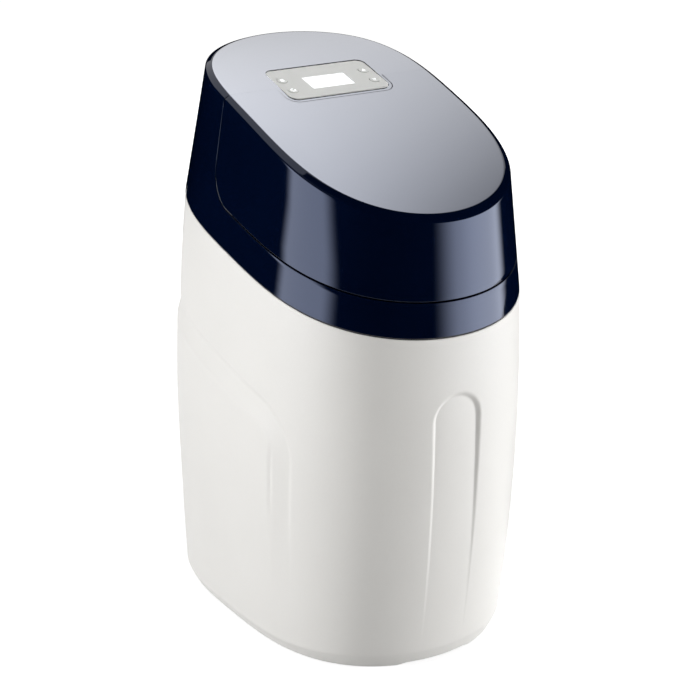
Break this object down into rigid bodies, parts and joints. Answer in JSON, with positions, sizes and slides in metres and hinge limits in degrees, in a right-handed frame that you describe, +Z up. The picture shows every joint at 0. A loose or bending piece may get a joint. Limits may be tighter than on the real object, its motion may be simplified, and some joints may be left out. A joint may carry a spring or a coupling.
{
  "type": "cabinet water softener",
  "caption": "Compact cabinet water softener: oval ivory brine cabinet, sloping two-piece navy cover with hinged salt lid, control panel, resin tank and geared valve.",
  "frame": {"origin": "on the floor, in the middle plane, below the widest station of the oval cabinet", "axes": "+Z up, the front faces -Y, +X is to the right seen from the front"},
  "size_m": [0.283, 0.3939, 0.5481],
  "materials": {
    "ivory_shell": "satin",
    "navy_gloss": "high gloss",
    "panel_grey": "satin",
    "display": "clear window",
    "key_white": "satin",
    "board_green": "satin",
    "tank_blue": "wound glass fibre",
    "dark_plastic": "moulded",
    "white_plastic": "moulded",
    "resin_amber": "beads",
    "brass": "machined",
    "steel": "brushed",
    "float_orange": "moulded"
  },
  "bodies": {
    "cabinet": {"cabinet": "ivory_shell", "rear_cover": "navy_gloss", "hinge_brackets": "dark_plastic", "hinge_pins": "steel", "control_panel": "panel_grey", "display_window": "display", "circuit_board": "board_green", "resin_tank": "tank_blue", "tank_boot": "dark_plastic", "riser_tube": "white_plastic", "upper_strainer": "white_plastic", "lower_strainer": "white_plastic", "resin_bed": "resin_amber", "valve_body": "dark_plastic", "port_plate": "dark_plastic", "inlet_connector": "brass", "outlet_connector": "brass", "drain_tail": "white_plastic", "power_socket": "dark_plastic", "drive_motor": "steel", "brine_well": "white_plastic", "well_cap": "white_plastic", "safety_valve": "white_plastic", "brine_line": "white_plastic", "overflow_tail": "white_plastic", "salt_grid": "white_plastic", "plate_screws": "steel"},
    "lid": {"salt_lid": "navy_gloss", "lid_arms": "dark_plastic"},
    "menu_key": {"menu_key": "key_white"},
    "regen_key": {"regen_key": "key_white"},
    "up_key": {"up_key": "key_white"},
    "down_key": {"down_key": "key_white"},
    "gear": {"drive_gear": "white_plastic"},
    "pinion": {"motor_pinion": "brass"},
    "float": {"float": "float_orange", "float_rod": "steel"}
  },
  "joints": [
    {"name": "lid_hinge", "type": "hinge", "parent": "cabinet", "child": "lid", "pos_m": [0, 0.076, 0.52301], "axis": [-1, 0, 0], "range_deg": [0, 75]},
    {"name": "menu_press", "type": "slide", "parent": "cabinet", "child": "menu_key", "axis": [0, 0.2317, -0.9728], "range_m": [0, 0.0006], "stiffness_N_per_m": 1500},
    {"name": "regen_press", "type": "slide", "parent": "cabinet", "child": "regen_key", "axis": [0, 0.2317, -0.9728], "range_m": [0, 0.0006], "stiffness_N_per_m": 1500},
    {"name": "up_press", "type": "slide", "parent": "cabinet", "child": "up_key", "axis": [0, 0.2317, -0.9728], "range_m": [0, 0.0006], "stiffness_N_per_m": 1500},
    {"name": "down_press", "type": "slide", "parent": "cabinet", "child": "down_key", "axis": [0, 0.2317, -0.9728], "range_m": [0, 0.0006], "stiffness_N_per_m": 1500},
    {"name": "gear_spin", "type": "hinge", "parent": "cabinet", "child": "gear", "pos_m": [0, 0.086, 0.47317], "axis": [0, 0, 1], "continuous": true},
    {"name": "pinion_spin", "type": "hinge", "parent": "cabinet", "child": "pinion", "pos_m": [0, 0.041, 0.47317], "axis": [0, 0, 1], "continuous": true},
    {"name": "float_rise", "type": "slide", "parent": "cabinet", "child": "float", "axis": [0, 0, 1], "range_m": [0, 0.018]}
  ],
  "couplings": [
    {"joint": "pinion_spin", "follows": "gear_spin", "ratio": -4}
  ]
}
